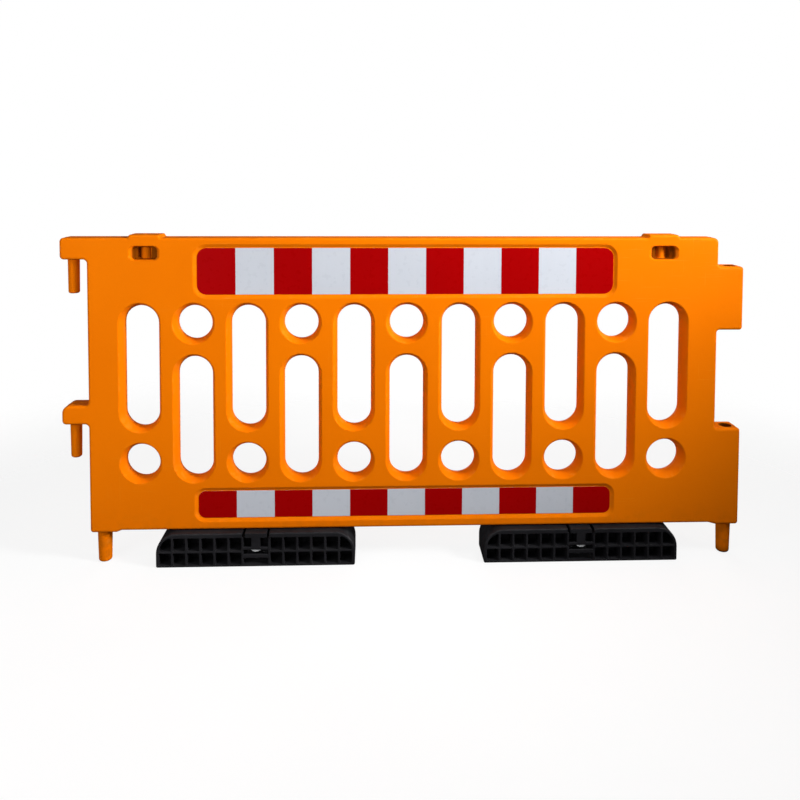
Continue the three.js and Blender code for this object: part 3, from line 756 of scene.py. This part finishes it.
def panel_bores(pivots, boss_bottom):
    """The sockets, the lamp bores, the holes for the threaded inserts and the drains."""
    bores = []
    for top in (UPPER_BLOCK_TOP, LOWER_BLOCK_TOP):
        bores.append(bore(SOCKET_X, top - SOCKET_DEPTH, top, SOCKET_RADIUS, SOCKET_LIP))
    for x in (-LAMP_X, LAMP_X):
        bores.append(bore(x, LAMP_BORE_BOTTOM, LAMP_PAD_TOP, LAMP_BORE_RADIUS, LAMP_BORE_LIP))
    for x in pivots:
        bores.append(bore_from_below(x, boss_bottom, INSERT_BORE_TOP, INSERT_BORE_RADIUS, INSERT_BORE_LIP))
    middle = sum(pivots) / 2
    for x in (middle - DRAIN_REACH, middle + DRAIN_REACH):
        bores.append(bore_from_below(x, PANEL_BOTTOM, PANEL_BOTTOM + DRAIN_DEPTH, DRAIN_RADIUS, DRAIN_LIP))
    return bores


def panel_moulding():
    """The whole panel: the plate with everything that stands on it or is bored into it."""
    plate = panel_plate()
    pivots = [middle_x("foot_left"), middle_x("foot_right")]
    boss_bottom = span("thrust_washer_left")[1].z + BOSS_CLEARANCE
    combine(plate, joined("additions", panel_additions(pivots, boss_bottom)), "UNION")
    combine(plate, joined("bores", panel_bores(pivots, boss_bottom)), "DIFFERENCE")
    return plate


placed(panel_moulding(), "panel", "panel_hdpe", HDPE, "panel_body")


# ---------- films ----------

CUT_CORNER = 0.3
FILM_BEVEL = 0.12


def film_piece(node, finish, slot):
    """A film or one red block of it, cut with smooth corners."""
    low, high = span(node)
    strip = "upper" if "upper" in node else "lower"
    radius = STRIP_CORNERS[strip]
    ends = {"left": CUT_CORNER, "right": CUT_CORNER}
    if node.startswith("film") or node.endswith("_1"):
        ends["left"] = radius
    if node.startswith("film") or node.endswith("_6"):
        ends["right"] = radius
    corners = [
        (low.x, low.z, ends["left"]), (high.x, low.z, ends["right"]),
        (high.x, high.z, ends["right"]), (low.x, high.z, ends["left"]),
    ]
    side = 1 if low.y > 0 else -1
    base, top = (low.y, high.y) if side > 0 else (high.y, low.y)
    loops = [(0, base), (0, top - side * FILM_BEVEL), (FILM_BEVEL, top)]
    piece = loft(node + "_sheet", [(rounded_loop(corners, inset), y) for inset, y in loops])
    placed(piece, "panel", slot, finish, node)


for node in sorted(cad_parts):
    if node.startswith("film_"):
        film_piece(node, WHITE_FILM, "film_white")
    if node.startswith("red_block_"):
        film_piece(node, RED_FILM, "film_red")


# ---------- feet ----------

FOOT_FILLET = 4.5
FOOT_BOTTOM_CORNER = 5
FOOT_SHOULDER = 60
FOOT_WEB = 6
FOOT_BOTTOM_BAND = 7
FOOT_TOP_BAND = 14
FOOT_END_BAND = 9
CELL_COLUMNS = 6
CELL_CORNER = 3
END_CELL_CORNER = 2
MIDDLE_WEB_Z = 46.5
POCKET_HALF = 37
NOTCH_HALF = 41
NOTCH_HEIGHT = 30
CUTTER_PAST = 5
SHELF = (31, 39)
SHELF_HALF_DEPTH = 17
BAR = (27, 38)
TUBE_RADIUS = 15
TUBE_BORE = 9
CUP_OUTER = 33
CUP_INNER = 22
CUP_FLOOR = 99.6
ACCESS_RADIUS = 21
TUBE_FLARE = 5
STEM_HALF = 13.5
STEM_DEPTH = 9
NECK_HALF = 33
RIB_INSET = 0.5
RIB_BEVEL = 1.2
LEDGE = (52, 60)
LEDGE_DEPTH = 8
LATCH_RADIUS = 19
LATCH_DROP = 7
LATCH_GRIP = 0.5
LATCH_THICKNESS = 3
LATCH_SETBACK = 3


def cell_profile(half_width):
    """A cell's wall as (growth, distance from the middle plane): a rounded mouth and a slight draft."""
    return [(1.2, half_width), (0.4, half_width - 0.35), (0, half_width - 1.4), (-0.9, FOOT_WEB / 2)]


def end_cell(near, low, high, half_length, top):
    """The upper cell under a shoulder, whose outer wall follows the shoulder's curve."""
    centre_x, centre_z = half_length - FOOT_SHOULDER, top - FOOT_SHOULDER
    radius = FOOT_SHOULDER - FOOT_END_BAND
    start, end = math.asin((low - centre_z) / radius), math.asin((high - centre_z) / radius)
    reach = radius / math.cos((end - start) / 2)
    bend = (start + end) / 2
    return [
        (near, low, CELL_CORNER),
        (centre_x + radius * math.cos(start), low, END_CELL_CORNER),
        (centre_x + reach * math.cos(bend), centre_z + reach * math.sin(bend), radius - 3 * END_CELL_CORNER),
        (centre_x + radius * math.cos(end), high, END_CELL_CORNER),
        (near, high, CELL_CORNER),
    ]


def cell_corners(half_length, top):
    """The corners of every open cell on one side of the hub."""
    first = POCKET_HALF + FOOT_WEB
    last = half_length - FOOT_END_BAND
    pitch = (last - first + FOOT_WEB) / CELL_COLUMNS
    lower_row = (FOOT_BOTTOM_BAND, MIDDLE_WEB_Z - FOOT_WEB / 2)
    upper_row = (MIDDLE_WEB_Z + FOOT_WEB / 2, top - FOOT_TOP_BAND)
    cells = []
    for index in range(CELL_COLUMNS):
        near = first + index * pitch
        width = pitch - FOOT_WEB
        for low, high in (lower_row, upper_row):
            middle = (near + width / 2, (low + high) / 2)
            cells.append(rounded_rectangle(width, high - low, CELL_CORNER, middle))
    cells[-1] = end_cell(near, *upper_row, half_length, top)
    return cells


def mirrored(corners):
    """The same corners on the other side of the hub, still anticlockwise."""
    return [(-x, z, radius) for x, z, radius in reversed(corners)]


def foot_blank(half_length, half_width, top):
    """The foot with its cells, before its hub is cut."""
    corners = [
        (-half_length, 0, FOOT_BOTTOM_CORNER), (half_length, 0, FOOT_BOTTOM_CORNER),
        (half_length, top, FOOT_SHOULDER), (-half_length, top, FOOT_SHOULDER),
    ]
    shell = Shell()
    fillet = [(FOOT_FILLET * (1 - s), FOOT_FILLET * (1 - c) - half_width) for s, c in quarter()]
    edge = [shell.flat_ring(rounded_loop(corners, inset), y) for inset, y in both_ways(fillet)]
    shell.strips(edge)
    faces = {-1: [edge[0]], 1: [edge[-1]]}
    cells = cell_corners(half_length, top)
    cells += [mirrored(cell) for cell in cells]
    for side in (-1, 1):
        for cell in cells:
            rings = [
                shell.flat_ring(rounded_loop(cell, -growth), side * y)
                for growth, y in cell_profile(half_width)
            ]
            shell.strips(rings)
            shell.sheet([rings[-1]])
            faces[side].append(rings[0])
        shell.sheet(faces[side])
    return shell.piece("foot")


def cut_pocket(foot, half_width, cell_top):
    """Opens the hub's pocket, the notch over it and the space under its shelf."""
    middle = (0, (cell_top + FOOT_BOTTOM_BAND) / 2)
    pocket = rounded_rectangle(2 * POCKET_HALF, cell_top - FOOT_BOTTOM_BAND, CELL_CORNER, middle)
    profile = [(1.2, half_width + 1)] + cell_profile(half_width)
    reach = half_width + CUTTER_PAST
    for side in (-1, 1):
        loops = [(rounded_loop(pocket, -growth), side * y) for growth, y in profile]
        combine(foot, loft("pocket", loops), "DIFFERENCE")
        near, far = sorted((side * FOOT_WEB, side * reach))
        low, high = (-NOTCH_HALF, near, cell_top - 1), (NOTCH_HALF, far, cell_top + NOTCH_HEIGHT)
        combine(foot, rounded_block("notch", low, high, 1.5), "DIFFERENCE")
    low, high = (-POCKET_HALF, -FOOT_WEB, FOOT_BOTTOM_BAND), (POCKET_HALF, FOOT_WEB, SHELF[0])
    combine(foot, rounded_block("under", low, high, 1), "DIFFERENCE")


def add_ribs(foot, half_width, top, cell_top):
    """The hub's shelf, and on both faces the bar, the ledge and the stem that carries the cup."""
    reach = POCKET_HALF + 2
    low, high = (-reach, -SHELF_HALF_DEPTH, SHELF[0]), (reach, SHELF_HALF_DEPTH, SHELF[1])
    combine(foot, rounded_block("shelf", low, high, 1), "UNION")
    stem_top = cell_top + FOOT_WEB
    for side in (-1, 1):
        face = side * (half_width - RIB_INSET)
        for name, half, (under, over), depth in (
            ("bar", reach, BAR, FOOT_WEB),
            ("ledge", reach, LEDGE, LEDGE_DEPTH),
            ("stem", STEM_HALF, (LEDGE[0] + 1, stem_top), STEM_DEPTH),
            ("neck", NECK_HALF, (cell_top - 1, top - 1), half_width - CUP_OUTER + 8),
        ):
            near, far = sorted((face, face - side * depth))
            block = rounded_block(name, (-half, near, under), (half, far, over), RIB_BEVEL)
            combine(foot, block, "UNION")


def add_tube(foot, top, cell_top):
    """The upright tube round the pivot, with the cup on its top, bored through."""
    cup_bottom = cell_top - 2 * FOOT_WEB
    tube = [(TUBE_RADIUS + TUBE_FLARE, SHELF[0] + 3)]
    tube += [(TUBE_RADIUS + TUBE_FLARE * (1 - s), SHELF[1] + TUBE_FLARE * (1 - c)) for s, c in quarter()]
    tube += [
        (TUBE_RADIUS, cup_bottom), (TUBE_RADIUS + 8, cup_bottom + 2), (CUP_OUTER - 1, cup_bottom + 6),
        (CUP_OUTER, cup_bottom + 8), (CUP_OUTER, top - 1), (CUP_OUTER - 1, top),
    ]
    combine(foot, turned("tube", tube), "UNION")
    hollow = [
        (TUBE_BORE, SHELF[0] - CUTTER_PAST), (TUBE_BORE, CUP_FLOOR), (CUP_INNER, CUP_FLOOR),
        (CUP_INNER, top - 1), (CUP_INNER + 1, top), (CUP_INNER + 1, top + CUTTER_PAST),
    ]
    combine(foot, turned("hollow", hollow), "DIFFERENCE")
    access = [
        (ACCESS_RADIUS + 1, -1), (ACCESS_RADIUS + 1, 0), (ACCESS_RADIUS, 1),
        (ACCESS_RADIUS, FOOT_BOTTOM_BAND + 2),
    ]
    combine(foot, turned("access", access), "DIFFERENCE")


def foot_moulding(name, node):
    """A whole foot, with its hub cut, ribbed and bored, where the CAD's foot stands."""
    low, high = span(node)
    half_length, half_width, top = (high.x - low.x) / 2, (high.y - low.y) / 2, high.z
    cell_top = top - FOOT_TOP_BAND
    foot = foot_blank(half_length, half_width, top)
    cut_pocket(foot, half_width, cell_top)
    add_ribs(foot, half_width, top, cell_top)
    add_tube(foot, top, cell_top)
    foot.name = name
    foot.data.transform(Matrix.Translation((middle_x(node) * MM, 0, 0)))
    return foot


def latch_plate(node, side, name):
    """The curved steel edge that shows under a foot's ledge and reaches a little way into it."""
    drop = math.acos(1 - (LATCH_DROP + LATCH_GRIP) / LATCH_RADIUS)
    centre = LEDGE[0] - LATCH_DROP + LATCH_RADIUS
    angles = [drop * (step / ARC_STEPS - 1) for step in range(2 * ARC_STEPS + 1)]
    arc = [(LATCH_RADIUS * math.sin(angle), centre - LATCH_RADIUS * math.cos(angle)) for angle in angles]
    face = side * (span(node)[1].y - LATCH_SETBACK)
    back = face - side * LATCH_THICKNESS
    plate = loft(name, [(arc, face), (arc, back)])
    plate.data.transform(Matrix.Translation((middle_x(node) * MM, 0, 0)))
    return plate


for side in ("left", "right"):
    node = f"foot_{side}"
    placed(foot_moulding(f"foot_moulding_{side}", node), node, "foot_plastic", FOOT_PLASTIC, node)
    for face, direction in (("front", -1), ("rear", 1)):
        latch = latch_plate(node, direction, f"latch_{face}_{side}")
        placed(latch, node, "zinc_steel", LATCH_STEEL_PAINTED_BRIGHT)


# ---------- pivot hardware ----------

BOLT_HEAD_HEIGHT = 6
BOLT_SHANK_RADIUS = 6
BOLT_HEAD_ANGLES = (0.3, 0.55, 0.8, 1.05, 1.3, QUARTER)
BOLT_SOCKET_RADIUS = 5
BOLT_SOCKET_DEPTH = 3.5
CLEARANCE_BORE = 6.3
THRUST_BORE = 11.5


def ring_profile(inner, outer, bottom, top, bevel):
    """A ring's closed profile with its corners taken off."""
    return [
        (inner + bevel, bottom), (outer - bevel, bottom), (outer, bottom + bevel), (outer, top - bevel),
        (outer - bevel, top), (inner + bevel, top), (inner, top - bevel), (inner, bottom + bevel),
    ]


def ring_piece(node, inner, bevel, body, slot, finish):
    """A washer, bush or insert, turned to the height and width of its CAD node."""
    low, high = span(node)
    profile = ring_profile(inner, (high.x - low.x) / 2, low.z, high.z, bevel)
    piece = turned(node + "_ring", profile, (middle_x(node), 0), hollow=True)
    placed(piece, body, slot, finish, node)


def bolt_piece(side):
    """A button-headed bolt seen from below through the foot's access hole."""
    node = f"pivot_bolt_{side}"
    low, high = span(node)
    radius = (high.x - low.x) / 2
    dome = 0.9 * BOLT_HEAD_HEIGHT
    shoulder = low.z + BOLT_HEAD_HEIGHT
    profile = [
        (radius * math.sin(angle), low.z + dome * (1 - math.cos(angle))) for angle in BOLT_HEAD_ANGLES
    ]
    profile += [
        (radius, shoulder), (BOLT_SHANK_RADIUS, shoulder),
        (BOLT_SHANK_RADIUS, high.z - 1), (BOLT_SHANK_RADIUS - 1, high.z),
    ]
    bolt = turned(node + "_turned", profile)
    hexagon = [
        (BOLT_SOCKET_RADIUS, low.z - 2), (BOLT_SOCKET_RADIUS, low.z + BOLT_SOCKET_DEPTH),
        (0.1 * BOLT_SOCKET_RADIUS, low.z + BOLT_SOCKET_DEPTH + 1.5),
    ]
    combine(bolt, turned("socket", hexagon, steps=6), "DIFFERENCE")
    bolt.data.transform(Matrix.Translation((middle_x(node) * MM, 0, 0)))
    placed(bolt, "panel", "zinc_steel", BOLT_STEEL, node)


for side in ("left", "right"):
    bolt_piece(side)
    ring_piece(f"pivot_washer_{side}", CLEARANCE_BORE, 0.4, "panel", "zinc_steel", BOLT_STEEL)
    ring_piece(f"thrust_washer_{side}", THRUST_BORE, 0.3, "panel", "nylon", NYLON)
    ring_piece(f"pivot_bush_{side}", CLEARANCE_BORE, 0.3, f"foot_{side}", "nylon", NYLON)
    ring_piece(f"pivot_insert_{side}", CLEARANCE_BORE, 0.3, "panel", "brass", BRASS)


# ---------- stage, light and camera ----------

SENSOR = 36
LENS = 34.4115
SHIFT_UP = -0.243
CAMERA_PLACE = Vector((-0.1069, -2.3217, 1.1922))
YAW, PITCH, ROLL = 0.0369, 0.0454, 0.0035
PANEL_MIDDLE = (0, 0, 0.6)
WORLD_GLOW = 0.05
BACKDROP = 1.0
FLOOR_GLOW = 0.86
FLOOR_RADIUS = 2700
FLOOR_DEPTH = 20
FLOOR_STEPS = 128
FLOOR_FADE = (1.1, 2.6)
SHADE_UNDER_HUB = 1.3


def camera_turn():
    """The camera's axes as a rotation: right, up and backwards."""
    level_reach = math.cos(PITCH)
    forward = Vector((level_reach * math.sin(YAW), level_reach * math.cos(YAW), -math.sin(PITCH)))
    level = Vector((math.cos(YAW), -math.sin(YAW), 0))
    upright = level.cross(forward)
    right = level * math.cos(ROLL) + upright * math.sin(ROLL)
    up = upright * math.cos(ROLL) - level * math.sin(ROLL)
    return Matrix((right, up, -forward)).transposed()


def make_camera():
    """A camera where the photo was taken from, with its frame shifted on to the barrier."""
    data = bpy.data.cameras.new("camera")
    data.sensor_width = SENSOR
    data.lens = LENS
    data.shift_y = SHIFT_UP
    camera = bpy.data.objects.new("camera", data)
    camera.matrix_world = Matrix.Translation(CAMERA_PLACE) @ camera_turn().to_4x4()
    bpy.context.scene.collection.objects.link(camera)
    bpy.context.scene.camera = camera


def make_light(name, place, target, size, power, spread=180):
    """A softbox at a place, turned to a target; the spread is in degrees."""
    data = bpy.data.lights.new(name, "AREA")
    data.shape = "RECTANGLE"
    data.size, data.size_y = size
    data.energy = power
    data.spread = math.radians(spread)
    light = bpy.data.objects.new(name, data)
    light.location = place
    light.rotation_euler = (Vector(target) - Vector(place)).to_track_quat("-Z", "Y").to_euler()
    bpy.context.scene.collection.objects.link(light)
    return light


def camera_only(nodes):
    """One for what the camera sees itself, zero for light that is on its way elsewhere."""
    return nodes.new("ShaderNodeLightPath").outputs["Is Camera Ray"]


def make_world():
    """A white backdrop to look at, which lights the scene much less."""
    world = bpy.data.worlds.new("studio")
    world.use_nodes = True
    bpy.context.scene.world = world
    nodes, links = world.node_tree.nodes, world.node_tree.links
    glow = nodes["Background"]
    glow.inputs["Color"].default_value = (0.93, 0.95, 1.0, 1)
    glow.inputs["Strength"].default_value = WORLD_GLOW
    backdrop = nodes.new("ShaderNodeBackground")
    backdrop.inputs["Color"].default_value = (1, 1, 1, 1)
    backdrop.inputs["Strength"].default_value = BACKDROP
    choice = nodes.new("ShaderNodeMixShader")
    links.new(camera_only(nodes), choice.inputs["Fac"])
    links.new(glow.outputs[0], choice.inputs[1])
    links.new(backdrop.outputs[0], choice.inputs[2])
    links.new(choice.outputs[0], nodes["World Output"].inputs["Surface"])


def make_floor():
    """A round pale floor that fades into the backdrop and doesn't glow up through the hubs."""
    finish = Finish("floor_pale", {"Roughness": 0.85, "Specular IOR Level": 0.0})
    finish.shader.inputs["Emission Color"].default_value = (1, 1, 1, 1)
    seen = camera_only(finish.nodes)
    tone = finish.ramp(finish.noise(1.5), 0.3, 0.7)
    pale = finish.mix(tone, (0.15, 0.15, 0.15, 1), (0.16, 0.16, 0.16, 1))
    finish.set("Base Color", finish.mix(seen, (0.08, 0.08, 0.08, 1), pale))
    glow = finish.maths("MULTIPLY", seen, FLOOR_GLOW)
    for node in ("foot_left", "foot_right"):
        apart = finish.distance(finish.place, (middle_x(node) * MM, 0, 0))
        open_floor = finish.ramp(apart, ACCESS_RADIUS * MM, SHADE_UNDER_HUB * ACCESS_RADIUS * MM)
        glow = finish.maths("MULTIPLY", glow, open_floor)
    finish.set("Emission Strength", glow)
    finish.set("Alpha", finish.ramp(finish.distance(finish.place), *FLOOR_FADE, 1.0, 0.0))
    floor = turned("floor", [(FLOOR_RADIUS, -FLOOR_DEPTH), (FLOOR_RADIUS, 0)], steps=FLOOR_STEPS)
    floor.data.materials.append(finish.material)


make_camera()
make_world()
make_floor()
make_light("strip", (0.5, -1.1, 2.3), (0.2, 0, 0.6), (2.2, 0.4), 7)
make_light("key", (1.0, -0.8, 1.9), (0.7, 0, 0.8), (0.7, 0.4), 6.5)
make_light("side", (2.5, -1.2, 1.8), (-0.9, 0, 0.7), (0.6, 0.6), 16, 60)
make_light("left", (-1.7, -1.7, 1.0), (-0.7, 0, 0.6), (1.2, 1.2), 18)
make_light("front", (-0.4, -3.4, 1.6), (0, 0, 0.5), (2.4, 1.8), 11)
make_light("top", (0.0, 0.1, 2.6), PANEL_MIDDLE, (2.6, 1.0), 4)
rear = make_light("rear", (0.3, 2.6, 0.6), PANEL_MIDDLE, (2.2, 0.7), 42)
rear.visible_glossy = False
bpy.context.scene.view_settings.view_transform = "Standard"
